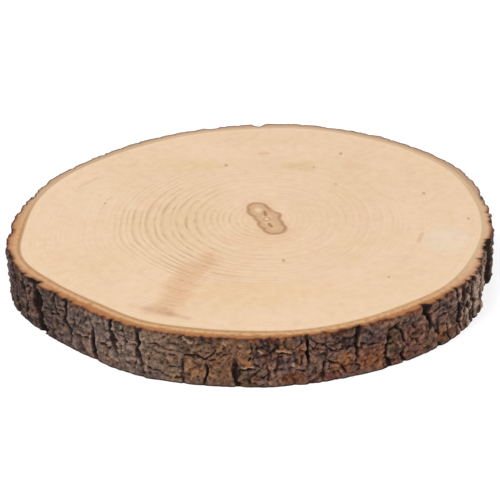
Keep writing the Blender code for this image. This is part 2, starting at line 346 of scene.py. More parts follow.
def lay_smear(finish, colour, plan, streaks):
    """A reddish smear that runs out from the rings towards the bark, streaked along them."""
    smear = None
    for (x, y, half), (next_x, next_y, next_half) in zip(SMEAR, SMEAR[1:]):
        away, forth = from_segment(finish, plan, (x, y), (next_x, next_y))
        away = away - forth * (next_half - half) - half
        smear = away if smear is None else smear.math("MINIMUM", away)
    ragged = finish.noise(plan, 12, 5, 0.6) * 20 - 10
    inside = (smear + ragged).rise(5, -5)
    colour = finish.mix(inside * (streaks.rise(0.35, 0.6) * 0.25 + 0.32), colour, shade("dba97f"))
    flecks = finish.noise(plan, 3.5, 3).rise(0.5, 0.66)
    return finish.mix(inside * flecks * streaks.rise(0.42, 0.6) * 0.3, colour, shade("c08c64"))


def lay_strokes(finish, colour, plan, mottle):
    """Thin dark strokes with soft, uneven edges."""
    for start, end, half, strength in STROKES:
        away, _ = from_segment(finish, plan, start, end)
        stroke = (away + mottle * 1.4 - 0.7).rise(half * 1.6, 0)
        colour = finish.mix(stroke * strength, colour, shade("b5764c"))
    return colour


def lay_stain(finish, colour, plan):
    """The stain round the pith, with a dark outline and a second, fainter line inside it."""
    field = None
    for x, y, radius in STAIN_LOBES:
        away = finish.vector("DISTANCE", plan, (x, y, 0), output="Value") - radius
        field = away if field is None else field.math("SMOOTH_MIN", away, 1.5)
    field = field + (finish.noise(plan, 6, 3) * 1.6 - 0.8)
    halo = finish.noise(plan, 8, 2).rise(0.38, 0.6)
    colour = finish.mix(field.rise(7, 0) * halo * 0.5, colour, shade("e9ba96"))
    colour = finish.mix(field.rise(0.5, -1.1) * 0.6, colour, shade("d0a47c"))
    colour = finish.mix(field.rise(-2.0, -5.5) * 0.5, colour, shade("e0b88e"))
    fading = finish.noise(plan, 6, 2).rise(0.3, 0.6) * 0.3 + 0.55
    outline = field.rise(1.2, -0.4) * field.rise(-3.2, -0.7)
    colour = finish.mix(outline * fading * 0.88, colour, shade("a97c56"))
    colour = finish.mix(abs(field + 3.9).rise(1.3, 0.1) * fading * 0.3, colour, shade("b58a64"))
    lighter = finish.vector("DISTANCE", plan, (*PALE_SPOT, 0), output="Value")
    return finish.mix(lighter.rise(3.4, 1.0) * 0.75, colour, shade("f0d2a6"))


def lay_pith(finish, colour, plan, from_pith):
    """The pith, a pale dot in a dark ring, with a check on either side and a second dot in front."""
    at_pith = finish.vector("LENGTH", from_pith, output="Value")
    dark = abs(at_pith - 1.7).rise(0.9, 0.2) * finish.noise(plan, 2.2, 1).rise(0.42, 0.6) * 0.7
    for start, end in PITH_CHECKS:
        away, _ = from_segment(finish, plan, start, end)
        dark = dark.math("MAXIMUM", away.rise(1.6, 0.4))
    colour = finish.mix(dark * 0.75, colour, shade("946845"))
    colour = finish.mix(at_pith.rise(1.5, 0.7) * 0.8, colour, shade("f2d4ae"))
    second = finish.vector("DISTANCE", plan, (*SECOND_DOT, 0), output="Value")
    return finish.mix(second.rise(1.1, 0.4) * 0.6, colour, shade("f0d0a8"))


def lay_knots(finish, colour, plan):
    """Pin knots, each a small dark spot that is longer from front to back."""
    knots = None
    for x, y, radius in PIN_KNOTS:
        spot = finish.vector("SUBTRACT", plan, (x, y, 0))
        spot = finish.vector("MULTIPLY", spot, (1.1, 0.65, 0))
        spot = finish.vector("LENGTH", spot, output="Value").rise(radius * 1.5, radius * 0.2)
        knots = spot if knots is None else knots.math("MAXIMUM", spot)
    return finish.mix(knots * 0.6, colour, shade("a07c58"))


def wood_finish():
    finish = Finish("sawn_wood")
    place = finish.place()
    plan = finish.vector("MULTIPLY", place, (1, 1, 0))
    year = finish.stored("year")
    mark = finish.stored("mark")
    grown = finish.stored("grown")
    to_bark = finish.stored("to_bark")
    colour = lay_ground(finish, place, plan, to_bark)
    mottle = finish.noise(place, 5.5, 3, 0.55)
    colour = finish.mix(mottle.rise(0.5, 0.68) * 0.35, colour, shade("e5c09b"))
    colour = finish.mix(mottle.rise(0.5, 0.34) * 0.4, colour, shade("f3d6ba"))

    # Year rings: each darkens slowly to its late wood and stops sharply, strongest to the pith's left
    waver = finish.noise(place, 15, 2) * 0.4 - 0.2
    within = (year + waver).math("FRACT")
    line = within.rise(0.4, 0.88) * within.rise(1.0, 0.92)
    this_year = finish.add("TexWhiteNoise", {"noise_dimensions": "1D"}, {
        "W": (year + waver).math("FLOOR")}, "Value")
    from_pith = finish.vector("SUBTRACT", plan, (*(PITH / MM), 0))
    direction = finish.vector("NORMALIZE", from_pith)
    to_left = finish.vector("DOT_PRODUCT", direction, DARKEST_SIDE, output="Value")
    patchy = finish.noise(plan, 17, 3).rise(0.3, 0.62)
    about = finish.vector("MULTIPLY_ADD", direction, (4.5, 4.5, 4.5), (31, 17, 3))
    broken = along_rings(finish, about, grown / 4).rise(0.36, 0.6)
    near_pith = grown.rise(46, 24) * 0.3
    strength = (to_left.rise(0.1, 0.92) * 0.72 + near_pith + 0.22) * mark
    strength = strength * (patchy * 0.7 + 0.3) * (broken * 0.9 + 0.25)
    colour = finish.mix(line * strength, colour, shade("cba67e"))
    colour = finish.mix(this_year.rise(0.5, 1.0) * 0.22, colour, shade("e8c49e"))

    # Fine fibre lines that follow the rings, and faint rays across them
    fibre = finish.add("TexNoise", {"noise_dimensions": "1D"}, {
        "W": grown + finish.noise(place, 7, 2) * 3, "Scale": 0.9, "Detail": 3.0}, "Fac")
    colour = finish.mix(fibre.rise(0.45, 0.75) * 0.18, colour, shade("dfbc92"))
    spokes = finish.vector("MULTIPLY_ADD", direction, (70, 70, 70), (3, 5, 7))
    ray = along_rings(finish, spokes, grown / 40, detail=2.0)
    colour = finish.mix(ray.rise(0.5, 0.72) * 0.16, colour, shade("f3dcbd"))
    pores = finish.noise(place, 0.7, 2)
    colour = finish.mix(pores.rise(0.55, 0.8) * 0.12, colour, shade("d9b588"))

    colour = lay_smear(finish, colour, plan, along_rings(finish, about, grown / 2.4))
    colour = lay_strokes(finish, colour, plan, mottle)
    colour = lay_stain(finish, colour, plan)
    colour = lay_pith(finish, colour, plan, from_pith)
    colour = lay_knots(finish, colour, plan)

    # The cambium, a thin olive line at the bark
    at_left = finish.part(place, "X").rise(30, -20)
    in_front = finish.part(place, "Y").rise(70, 10)
    cambium = to_bark.rise(1.0, 0.2) * in_front * (at_left * 0.35 + 0.15)
    colour = finish.mix(cambium, colour, shade("b09067"))

    finish.feed("Base Color", colour)
    finish.feed("Roughness", 0.72 - line * strength * 0.1 + pores * 0.08)
    finish.feed("Specular IOR Level", 0.35)
    finish.bump([(line * strength, 0.06, 0.5), (fibre, 0.04, 0.5), (pores, 0.05, 0.5)])
    return finish.material


sawn_wood = make_sawn_wood()
sawn_wood.data.materials.append(wood_finish())
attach(sawn_wood, "root")
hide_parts("wood_slice")


# The bark
# Fibrous inner bark, tan to rust brown, under a rough corky outer bark that has split into plates as
# the trunk swelled. It grew on the wood and was sawn through with it, so its section shows as a ring.

# A furrow: the bearings of its top and foot in degrees, its width and its depths at both in mm. The
# rest is the cross crack of the plate that follows it: its heights at the plate's ends and its depth
Furrow = namedtuple("Furrow", "top foot width top_depth foot_depth crack_left crack_right crack_depth")
FRONT_FURROWS = [
    Furrow(192.5, 193.5, 3.2, 3.0, 3.0, 12, 14, 1.0),
    Furrow(197.0, 198.2, 3.0, 3.4, 3.0, 22, 20, 1.2),
    Furrow(201.8, 203.2, 2.8, 3.2, 2.2, 21, 20, 0.9),
    Furrow(206.8, 209.2, 7.6, 4.6, 4.8, 18, 21, 1.3),
    Furrow(214.6, 215.2, 1.8, 1.8, 0.5, 23, 22, 0.6),
    Furrow(217.8, 219.6, 3.6, 3.8, 1.2, 12, 13, 0.8),
    Furrow(226.4, 227.4, 3.0, 1.2, 3.0, 13, 14.5, 1.1),
    Furrow(232.8, 234.4, 4.0, 3.8, 0.3, 22.5, 21, 1.1),
    Furrow(240.2, 241.8, 3.0, 3.2, 1.0, 23, 21.5, 1.2),
    Furrow(252.1, 252.8, 2.0, 2.0, 1.9, 19, 18, 1.4),
    Furrow(258.8, 258.5, 1.8, 0.3, 2.4, 17.5, 22, 1.4),
    Furrow(266.0, 266.5, 3.6, 0.4, 2.8, 13, 12, 1.4),
    Furrow(271.4, 270.6, 2.0, 1.4, 0.3, 9, 10, 0.7),
    Furrow(274.4, 274.8, 1.6, 1.4, 1.2, 15, 16, 0.8),
    Furrow(277.0, 277.2, 2.0, 1.6, 0.8, 20, 19.5, 1.2),
    Furrow(281.4, 281.9, 1.8, 1.4, 0.8, 16, 15, 0.9),
    Furrow(284.2, 285.6, 2.4, 2.6, 2.6, 21.5, 20, 1.0),
    Furrow(289.8, 289.0, 1.8, 1.0, 1.4, 21, 19.5, 1.3),
    Furrow(298.0, 298.4, 3.8, 2.8, 0.6, 17, 16, 1.2),
    Furrow(306.6, 307.0, 2.8, 1.8, 3.2, 24, 22.5, 1.0),
    Furrow(310.0, 312.0, 2.2, 0.8, 2.4, 17, 18, 0.9),
    Furrow(315.0, 315.6, 1.6, 0.4, 2.2, 10, 9, 0.9),
    Furrow(318.4, 320.2, 3.4, 3.8, 0.8, 14, 12, 0.9),
    Furrow(322.0, 323.0, 2.2, 0.4, 2.8, 20, 21, 1.0),
    Furrow(325.6, 326.6, 1.8, 1.4, 1.8, 13, 15, 0.8),
    Furrow(329.6, 331.4, 2.2, 2.4, 2.4, 20, 18, 0.9),
    Furrow(333.2, 334.8, 2.0, 2.6, 2.6, 10, 12, 0.7),
    Furrow(336.4, 337.8, 2.0, 2.8, 2.6, 22, 20, 0.8),
    Furrow(339.6, 341.0, 1.8, 2.6, 2.2, 15, 13, 0.8),
    Furrow(344.2, 345.0, 2.0, 2.6, 2.4, 20, 18, 0.8),
    Furrow(351.6, 351.8, 10.5, 4.8, 4.8, 18, 16, 0.6),
]
# Furrows behind are drawn from a seed: their bearings, spacing and lean in degrees, the rest in mm
BACK_FROM = 357.0
BACK_TO = 549.0
BACK_SEED = 41
BACK_SPACING = (4.4, 7.4)
BACK_LEAN = (-0.6, 1.6)
BACK_WIDTH = (1.8, 3.8)
BACK_DEPTH = (0.8, 2.8)
BACK_CRACK_HEIGHT = (9, 23)
BACK_CRACK_DEPTH = (0.5, 1.4)

# Places where the outer bark has come off: bearing, height, width, tallness and depth, in mm
Shed = namedtuple("Shed", "bearing height width tallness depth")
SHED_BARK = [
    Shed(87.5, 16, 13, 60, 2.6),
    Shed(100.5, 16, 15, 60, 2.0),
    Shed(280.6, 4.5, 16, 9, 1.2),
    Shed(283.2, 20.5, 5, 9, 0.9),
    Shed(295.5, 8, 13, 11, 0.7),
    Shed(302.2, 9, 15, 17, 1.1),
    Shed(323.8, 6.5, 11, 9, 1.1),
]
# The foot is drawn in at the left end: how far, at which bearing, and how fast that fades to its sides
DRAW_IN = 1.2 * MM
DRAW_IN_BEARING = 212
DRAW_IN_FALL = 8
# A furrow's mouth against its width at half depth, and the share of the mouth that its floor takes
MOUTH = 1.45
FURROW_FLOOR = 0.3
# The share of a furrow's depth that is left at the sawn upper rim, and how far down it takes hold
RIM_SHARE = 0.55
RIM_REACH = 4 * MM
# A furrow up to the first width, in mm, closes up in places, and one over the second keeps its depth
# at the foot
NARROW_FURROW = 2.8
WIDEST_FURROW = 10
FURROW_SWAY = 0.8 * MM
SWAY_LENGTH = 23 * MM
LIP_DROP = 0.7 * MM
LIP_REACH = 1.6 * MM
CRACK_HALF_WIDTH = 1.1 * MM
CRACK_WAVER = 0.9 * MM
SWELL_SIZE = 15 * MM
SWELL_RISE = 0.8 * MM
KNOB_SIZE = 5 * MM
KNOB_RISE = 0.4 * MM
# The deepest that the surface lies in, as a share of the bark's thickness
DEEPEST_SHARE = 0.72
# The bark is smoother near its foot, and its furrows are shallower there
CALM_REACH = 3.5 * MM
FOOT_REACH = 4 * MM
# Scales on the plates and finer ones on those: width and height of each, its step out and its tilt
SCALE_WIDTH = 9.5 * MM
SCALE_HEIGHT = 6.5 * MM
SCALE_STEP = 0.35 * MM
SCALE_TILT = 0.6 * MM
SCALE_GAP = 0.8 * MM
FINE_WIDTH = 3.6 * MM
FINE_HEIGHT = 2.6 * MM
FINE_STEP = 0.3 * MM
FINE_TILT = 0.8 * MM
FINE_GAP = 0.45 * MM
CRUMB_RISE = 0.4 * MM
GRIT_RISE = 0.26 * MM
CHIP_DEPTH = 1.1 * MM
CHIP_REACH = 2.4 * MM
FLOOR_RIDGE = 1.2 * MM
# Upright frayed strips at the right end, and the bearings between which they stand
STRIP_WIDTH = 2.5 * MM
STRIP_DEPTH = 1.7 * MM
FRAYED_FROM = 326
FRAYED_TO = 350
# Bearings between which the plates are least broken
PLAIN_PLATES = [(242, 252), (252.5, 266), (300, 306)]
# The bark stands back before the wide furrow at the right end, and out past it
SET_BACK = 2.6 * MM
SET_BACK_FROM = 341.0
SET_BACK_END = 355.0
STAND_OUT = 0.9 * MM
STAND_OUT_BEARING = 358.5
STAND_OUT_REACH = 9 * MM
# Bearings between which the wide furrow at the right end is painted black, as painted shadow on its far wall
SHADOWED_WALL_FROM = 349.5
SHADOWED_WALL_TO = 356.6
# How far the plates stand out over the reach, so that their scales lie about it
PLATE_RISE = 1.7 * MM

# Cracks that stand out, as points of bearing and height in mm, with the width and depth of each in mm
CRACKS = [
    (1.3, 1.3, [(253.3, 19.0), (255.2, 19.6), (257.0, 19.8), (258.3, 17.3), (260.4, 21.2), (261.4, 24.2)]),
    (1.2, 1.0, [(242.8, 23.2), (244.6, 24.0), (246.6, 24.8)]),
    (1.3, 1.2, [(212.9, 17.2), (214.6, 19.0), (216.2, 20.4)]),
    (1.1, 0.9, [(249.3, 10.6), (250.6, 10.6), (252.2, 9.2)]),
    (1.4, 1.4, [(267.2, 11.0), (268.6, 11.6), (270.4, 12.2)]),
    (2.0, 1.6, [(269.8, 18.6), (270.0, 19.6)]),
    (1.8, 1.4, [(277.0, 22.6), (278.2, 21.6), (279.4, 21.8), (280.6, 20.2)]),
    (2.2, 2.0, [(289.0, 19.2), (289.2, 18.6)]),
    (1.3, 1.2, [(289.4, 16.2), (290.6, 13.6), (292.4, 11.4), (293.4, 9.8)]),
    (1.4, 1.3, [(293.6, 9.8), (294.4, 6.6), (295.4, 3.0)]),
    (1.1, 0.9, [(291.0, 19.6), (293.6, 20.6), (296.4, 21.0)]),
    (1.2, 1.0, [(299.0, 21.0), (301.6, 19.0), (305.0, 18.2)]),
    (1.8, 1.8, [(306.2, 23.4), (308.2, 26.4), (309.6, 24.4), (311.0, 20.2), (311.6, 14.0)]),
    (1.6, 1.6, [(309.6, 28.6), (308.4, 26.6)]),
    (1.8, 1.6, [(317.2, 27.8), (318.4, 25.4), (319.0, 22.2)]),
    (2.0, 1.8, [(319.2, 18.8), (321.0, 16.0), (321.6, 12.0), (323.4, 8.0)]),
    (1.5, 1.4, [(322.4, 28.0), (320.6, 26.4)]),
    (1.3, 1.2, [(282.2, 10.8), (284.0, 9.6)]),
    (1.2, 1.0, [(285.6, 21.8), (288.0, 22.4), (289.2, 21.6)]),
    (1.2, 1.0, [(229.6, 13.2), (231.6, 12.4), (233.8, 14.2)]),
    (1.2, 1.0, [(235.4, 24.6), (238.0, 23.4), (240.6, 22.6)]),
    (1.2, 1.1, [(220.6, 12.6), (223.2, 11.4), (226.0, 12.6)]),
    (1.4, 1.2, [(203.0, 24.4), (204.2, 26.2)]),
    (1.1, 0.9, [(243.4, 6.8), (247.0, 7.4)]),
    (1.3, 1.2, [(271.6, 7.4), (273.6, 5.6), (274.6, 8.0)]),
]
# Pale flakes that lift off the bark, laid out like the cracks, with how far each one lifts in mm
FLAKES = [
    (1.6, 0.9, [(267.8, 12.9), (269.2, 12.5), (270.5, 13.4)]),
    (1.6, 0.8, [(276.6, 23.8), (278.2, 23.2), (279.6, 23.0), (280.4, 21.8)]),
    (2.4, 0.9, [(281.0, 13.6), (282.2, 11.8)]),
    (1.5, 0.7, [(253.2, 31.0), (254.0, 29.4), (255.2, 28.6)]),
    (1.2, 0.6, [(263.2, 29.6), (263.9, 27.5)]),
    (1.3, 0.6, [(272.2, 24.4), (273.0, 22.8)]),
    (1.2, 0.6, [(309.4, 15.6), (310.2, 12.0)]),
    (1.4, 0.7, [(326.4, 13.0), (327.2, 8.0)]),
]
# The bark's colours, as screens show them
OLIVE = "4a4030"
GREY_BROWN = "705f55"
DULL_BROWN = "63544c"
GREY_TAN = "806a54"
TAN = "8a6a4c"
OCHRE = "a2744a"
DARK_VIOLET = "35272b"
BLUE_GREY = "4a4751"
PINK_BROWN = "8e665a"
RED_BROWN = "6f473d"
PALE_BROWN = "98796a"
RUST = "8d6047"
# Painted shadow for the far wall of the wide furrow at the right end
SHADOW_BLACK = "1d1212"
FLAKE = "c8ab8c"
# Painted highlight for the raised frayed strips and painted shade for the sunken ones
STRIP_HIGHLIGHT = "b39f91"
STRIP_SHADE = "1f1312"
# Where a colour stands out: its bearing, and its height, width and tallness in mm
BARK_TONES = [
    (196.5, 18, 12, 26, DARK_VIOLET), (199.5, 17, 8, 28, OLIVE), (204.5, 13, 9, 18, PALE_BROWN),
    (206, 28, 9, 9, PALE_BROWN), (206, 17, 8, 9, RED_BROWN), (214, 16, 13, 50, DULL_BROWN),
    (217.5, 21, 9, 20, GREY_BROWN), (223.5, 16, 13, 50, DULL_BROWN), (225, 12, 6, 18, PALE_BROWN),
    (231, 22, 12, 18, GREY_BROWN), (231, 7, 12, 10, GREY_TAN), (237.5, 30, 13, 8, OLIVE),
    (238, 13, 16, 20, GREY_BROWN), (245.5, 20, 17, 24, GREY_TAN), (246, 4, 17, 9, DULL_BROWN),
    (250, 17, 9, 40, GREY_TAN), (257.5, 26, 22, 13, OLIVE), (257.5, 24, 18, 10, GREY_TAN),
    (257.5, 11, 24, 16, TAN), (255.6, 8, 8, 8, OCHRE), (264, 17, 11, 28, TAN),
    (268.4, 22, 9, 16, OCHRE), (269, 24, 8, 10, GREY_TAN), (274, 26, 16, 15, DARK_VIOLET),
    (270, 6, 14, 9, OLIVE), (272, 6, 4, 5, RUST), (275.8, 9, 8, 14, PALE_BROWN), (279, 27, 9, 10, TAN),
    (280, 14, 15, 12, BLUE_GREY), (282.2, 12, 6, 7, GREY_TAN), (283.4, 21, 5, 13, RUST),
    (281, 4.4, 17, 6, RUST), (287.6, 26, 8, 7, PINK_BROWN), (290.5, 29, 9, 10, DULL_BROWN),
    (288.5, 13, 13, 16, GREY_BROWN), (290, 3, 19, 6, RED_BROWN), (294.5, 27, 16, 12, DARK_VIOLET),
    (295, 12.5, 14, 14, OCHRE), (296.6, 3, 7, 5, RED_BROWN), (302.5, 25, 17, 13, BLUE_GREY),
    (302.4, 9.5, 16, 16, RUST), (303.4, 8, 8, 9, OCHRE), (309.2, 17, 11, 20, OLIVE),
    (309, 4, 11, 7, RED_BROWN), (313.5, 28, 12, 12, DULL_BROWN), (314, 27, 5, 6, BLUE_GREY),
    (315, 12, 17, 22, RED_BROWN), (316.4, 17, 7, 7, PINK_BROWN), (323.2, 23, 12, 15, BLUE_GREY),
    (323.8, 17, 9, 7, GREY_BROWN), (324, 6, 12, 9, RUST), (329, 20, 14, 24, DULL_BROWN),
    (329.2, 5, 12, 8, RED_BROWN), (334, 26, 9, 16, DARK_VIOLET), (340, 15, 22, 34, GREY_BROWN),
    # The last tone is painted shadow in the wide furrow at the right end
    (352, 16, 15, 40, SHADOW_BLACK),
]
BACK_KINDS = [OLIVE, GREY_TAN, TAN, DARK_VIOLET, BLUE_GREY, RED_BROWN, PINK_BROWN, PALE_BROWN,
              DULL_BROWN, OCHRE]
BACK_TONES_SEED = 71
BACK_TONES_FROM = 3
BACK_TONES_TO = 187
BACK_TONES_STEP = 3.2
# Steps of the mesh: round the slice, and along its section
AROUND = 1500
UP_SIDE = 52
ACROSS_TOP = 7
DOWN_INSIDE = 1
ACROSS_FOOT = 4
BARK_SHARP_ANGLE = 50
# In steps of the mesh: how far off the bark lies that a hollow is measured against, and the furthest
# piece of the rough edge that is looked at from a place
HOLLOW_STEP = 3
EDGE_COLUMNS = 10


def degrees_of(length):
    """The bearing that a length along the bark spans."""
    return np.degrees(length / MEAN_RADIUS)


def arc_between(bearing, other):
    """Length along the bark from one bearing to another, the short way."""
    turn = np.mod(np.asarray(other) - bearing + 180, 360) - 180
    return np.radians(turn) * MEAN_RADIUS


def grain(bearing, height, size, seed, stretch=1.0):
    """Smooth seeded noise from -1 to 1, in cells of one size, closed round the slice."""
    across = round(math.tau * MEAN_RADIUS / size)
    tall = size * stretch
    up = math.ceil(THICKNESS / tall) + 4
    knots = np.random.default_rng(seed).uniform(-1, 1, (up, across))
    column = np.mod(bearing, 360) / 360 * across
    row = np.asarray(height) / tall + 1
    i = np.floor(column).astype(int)
    j = np.clip(np.floor(row).astype(int), 0, up - 2)
    u = smooth(column - i)
    v = smooth(row - j)
    low = knots[j, i % across] * (1 - u) + knots[j, (i + 1) % across] * u
    high = knots[j + 1, i % across] * (1 - u) + knots[j + 1, (i + 1) % across] * u
    return low * (1 - v) + high * v


def draw_back_furrows():
    """Furrows of the back, which are like those in front."""
    draw = np.random.default_rng(BACK_SEED)
    furrows = []
    bearing = BACK_FROM
    while bearing < BACK_TO:
        furrows.append(Furrow(
            bearing,
            bearing + draw.uniform(*BACK_LEAN),
            draw.uniform(*BACK_WIDTH),
            draw.uniform(*BACK_DEPTH),
            draw.uniform(*BACK_DEPTH),
            draw.uniform(*BACK_CRACK_HEIGHT),
            draw.uniform(*BACK_CRACK_HEIGHT),
            draw.uniform(*BACK_CRACK_DEPTH),
        ))
        bearing += draw.uniform(*BACK_SPACING)
    return furrows


FURROWS = FRONT_FURROWS + draw_back_furrows()


def furrow_bearing(index, height):
    """Where a furrow's floor runs: from its foot to its top, swaying a little."""
    furrow = FURROWS[index]
    sway = FURROW_SWAY * np.sin(math.tau * np.asarray(height) / SWAY_LENGTH + 2.4 * index)
    return furrow.foot + (furrow.top - furrow.foot) * height / THICKNESS + degrees_of(sway)


def plate_lips():
    """Bearings of both lips of every plate at mid-height, with its crack's height and depth there."""
    lips = []
    for index, furrow in enumerate(FURROWS):
        following = (index + 1) % len(FURROWS)
        here = furrow_bearing(index, THICKNESS / 2)
        gap = arc_between(here, furrow_bearing(following, THICKNESS / 2))
        near = min(furrow.width * MM / 2 / gap, 0.35)
        far = 1 - min(FURROWS[following].width * MM / 2 / gap, 0.35)
        lips.append((here + degrees_of(near * gap), furrow.crack_left, furrow.crack_depth))
        lips.append((here + degrees_of(far * gap), furrow.crack_right, furrow.crack_depth))
    return np.array(lips)


LIPS = plate_lips()


def crack_height(bearing):
    """Height of the cross cracks, from lip to lip with a little waver."""
    waver = CRACK_WAVER * grain(bearing, THICKNESS / 2, KNOB_SIZE, seed=7)
    return np.interp(bearing, LIPS[:, 0], LIPS[:, 1], period=360) * MM + waver


def crack_depth(bearing):
    """Depth of the cross cracks."""
    return np.interp(bearing, LIPS[:, 0], LIPS[:, 2], period=360) * MM


def scales(bearing, height, wide, tall, seed):
    """Irregular scales, closed round the slice. Gives how deep a place lies in its scale, from 0 at the
    edge, where it lies from the scale's middle, and three seeded numbers of that scale, from -1 to 1."""
    across = round(math.tau * MEAN_RADIUS / wide)
    up = math.ceil(THICKNESS / tall) + 6
    draw = np.random.default_rng(seed)
    spots = draw.uniform(0.08, 0.92, (2, up, across))
    own = draw.uniform(-1, 1, (3, up, across))
    column = np.mod(bearing, 360) / 360 * across
    row = height / tall + 3
    nearest = np.full_like(column, 9)
    second = np.full_like(column, 9)
    found = np.zeros((5, *column.shape))
    for i_step in (-1, 0, 1):
        for j_step in (-1, 0, 1):
            i = np.floor(column).astype(int) + i_step
            j = np.clip(np.floor(row).astype(int) + j_step, 0, up - 1)
            i_own = i % across
            right = column - i - spots[0, j, i_own]
            above = row - j - spots[1, j, i_own]
            away = np.hypot(right, above)
            closer = away < nearest
            second = np.where(closer, nearest, np.minimum(second, away))
            found = np.where(closer, [right, above, *own[:, j, i_own]], found)
            nearest = np.where(closer, away, nearest)
    return second - nearest, found


def from_line(bearing, height, points):
    """How far a place on the bark lies from a line through points of bearing and height in mm."""
    nearest = np.full_like(height, 1.0)
    for (turn_a, up_a), (turn_b, up_b) in zip(points, points[1:]):
        right = arc_between(turn_a, bearing)
        above = height - up_a * MM
        run = arc_between(turn_a, turn_b)
        climb = (up_b - up_a) * MM
        share = np.clip((right * run + above * climb) / (run * run + climb * climb), 0, 1)
        nearest = np.minimum(nearest, np.hypot(right - share * run, above - share * climb))
    return nearest


def frayed(bearing):
    """Where the bark has frayed into upright strips: 1 there and 0 elsewhere."""
    return smooth((bearing - FRAYED_FROM) / 7) * smooth((FRAYED_TO - bearing) / 3)


def strips(bearing, height):
    """Where a strip lies high or low, from -1 to 1."""
    return grain(bearing, height, STRIP_WIDTH, seed=41, stretch=5.5)


def plain_plate(bearing):
    """Where the plates are least broken: 1 there and 0 elsewhere."""
    return np.maximum.reduce([smooth((bearing - start) / 1.5) * smooth((end - bearing) / 1.5)
                              for start, end in PLAIN_PLATES])


def set_back(bearing):
    """How far the bark stands back before the wide furrow at the right end, and out past it."""
    back = SET_BACK * smooth((bearing - SET_BACK_FROM) / 6) * smooth((SET_BACK_END - bearing) / 0.9)
    past = np.abs(arc_between(STAND_OUT_BEARING, bearing)) / STAND_OUT_REACH
    return back - STAND_OUT * (1 - smooth(past))


def shadowed_wall(bearing):
    """Where the wide furrow at the right end is painted black, as painted shadow on its far wall: 1 there and
    0 elsewhere.
    """
    return smooth((bearing - SHADOWED_WALL_FROM) / 1.5) * smooth((SHADOWED_WALL_TO - bearing) / 1.5)


def shed_bark(bearing, height):
    """How deep the outer bark has come off, and where: 1 there and 0 elsewhere."""
    depth = np.zeros_like(height)
    bare = np.zeros_like(height)
    for shed in SHED_BARK:
        across = arc_between(shed.bearing, bearing) / (shed.width * MM / 2)
        up = (height - shed.height * MM) / (shed.tallness * MM / 2)
        here = 1 - smooth(2 * np.hypot(across, up) - 1)
        depth += shed.depth * MM * here
        bare = np.maximum(bare, here)
    return depth, bare


def furrow_cut(bearing, height, ragged, jagged):
    """How deep the furrows cut with their lips, and the wide one without."""
    share = smooth((height / THICKNESS - 0.2) / 0.6)
    breaks = grain(bearing, height, 6 * MM, seed=16)
    cut = np.zeros_like(height)
    wide_cut = np.zeros_like(height)
    for index, furrow in enumerate(FURROWS):
        away = np.abs(arc_between(furrow_bearing(index, height), bearing + jagged))
        # A narrow furrow closes up in places
        if furrow.width > NARROW_FURROW:
            broken = 0.85 + 0.35 * breaks
        else:
            broken = np.clip(0.75 + 0.85 * breaks, 0.05, 1.2)
        half = furrow.width * MOUTH * MM / 2 * ragged
        full = (furrow.foot_depth + (furrow.top_depth - furrow.foot_depth) * share) * MM * broken
        wall = 1 - smooth((away / half - FURROW_FLOOR) / (1 - FURROW_FLOOR))
        lip = LIP_DROP * np.exp(-np.maximum(away - half, 0) / LIP_REACH)
        cut = np.maximum(cut, np.maximum(full * wall, lip * full / (full + LIP_DROP)))
        if furrow.width > WIDEST_FURROW:
            wide_cut = full * wall
    return cut, wide_cut


def crack_cut(bearing, height, ragged, jagged, drift):
    """How deep the plates' own cross cracks cut, and those that stand out."""
    rise = np.abs(height + drift - crack_height(bearing)) / (CRACK_HALF_WIDTH * 0.8 * ragged)
    cut = 0.7 * crack_depth(bearing) * (1 - smooth(rise))
    for width, deep, points in CRACKS:
        away = from_line(bearing + 0.5 * jagged, height + 0.5 * drift, points)
        away /= width * 0.58 * MM * (0.6 + 0.4 * ragged)
        cut = np.maximum(cut, 1.1 * deep * MM * (1 - smooth(away - 0.3)))
    return cut


def lifted_flakes(bearing, height, jagged, drift):
    """How far the pale flakes lift off, and where: 1 there and 0 elsewhere."""
    lifted = np.zeros_like(height)
    flake = np.zeros_like(height)
    for width, lift, points in FLAKES:
        away = from_line(bearing + 0.5 * jagged, height + 0.5 * drift, points) / (width * MM / 2)
        here = 1 - smooth(away - 0.3)
        lifted += lift * MM * here
        flake = np.maximum(flake, here)
    return lifted, flake


def scaly_plates(bearing, height):
    """How far scales, crumbs and grit lie in, how much painted shade the gaps and deeper-set scales get, and
    the scales' levels.
    """
    wander = degrees_of(1.3 * MM) * grain(bearing, height, 5 * MM, seed=21)
    wander += degrees_of(0.5 * MM) * grain(bearing, height, 1.8 * MM, seed=24)
    lift = 1.2 * MM * grain(bearing, height, 5 * MM, seed=22)
    lift += 0.4 * MM * grain(bearing, height, 1.8 * MM, seed=25)
    whole = 1 - plain_plate(bearing)
    edge, (right, above, level, tilt, turn) = scales(
        bearing + wander, height + lift, SCALE_WIDTH, SCALE_HEIGHT, seed=61)
    gap = (1 - smooth(edge / 0.16)) * smooth(grain(bearing, height, 8 * MM, seed=32) * 2.2 + 0.3)
    gap *= 0.2 + 0.8 * whole
    relief = SCALE_STEP * (1 + level) + SCALE_TILT * (tilt * right + turn * above) + SCALE_GAP * gap
    edge, (right, above, fine_level, tilt, turn) = scales(
        bearing + wander, height + lift, FINE_WIDTH, FINE_HEIGHT, seed=62)
    fine_gap = (1 - smooth(edge / 0.3)) * smooth(grain(bearing, height, 6 * MM, seed=33) * 2 - 0.1)
    fine_gap *= 0.3 + 0.7 * whole
    relief += FINE_STEP * (1 + fine_level) + FINE_TILT * (tilt * right + turn * above)
    relief += FINE_GAP * fine_gap
    relief += CRUMB_RISE * grain(bearing, height, 2.6 * MM, seed=37)
    relief += GRIT_RISE * grain(bearing, height, 1.3 * MM, seed=34)
    low = 0.12 * (1 + level) + 0.5 * gap + 0.25 * fine_gap + 0.15 * fine_level
    return relief, low, level


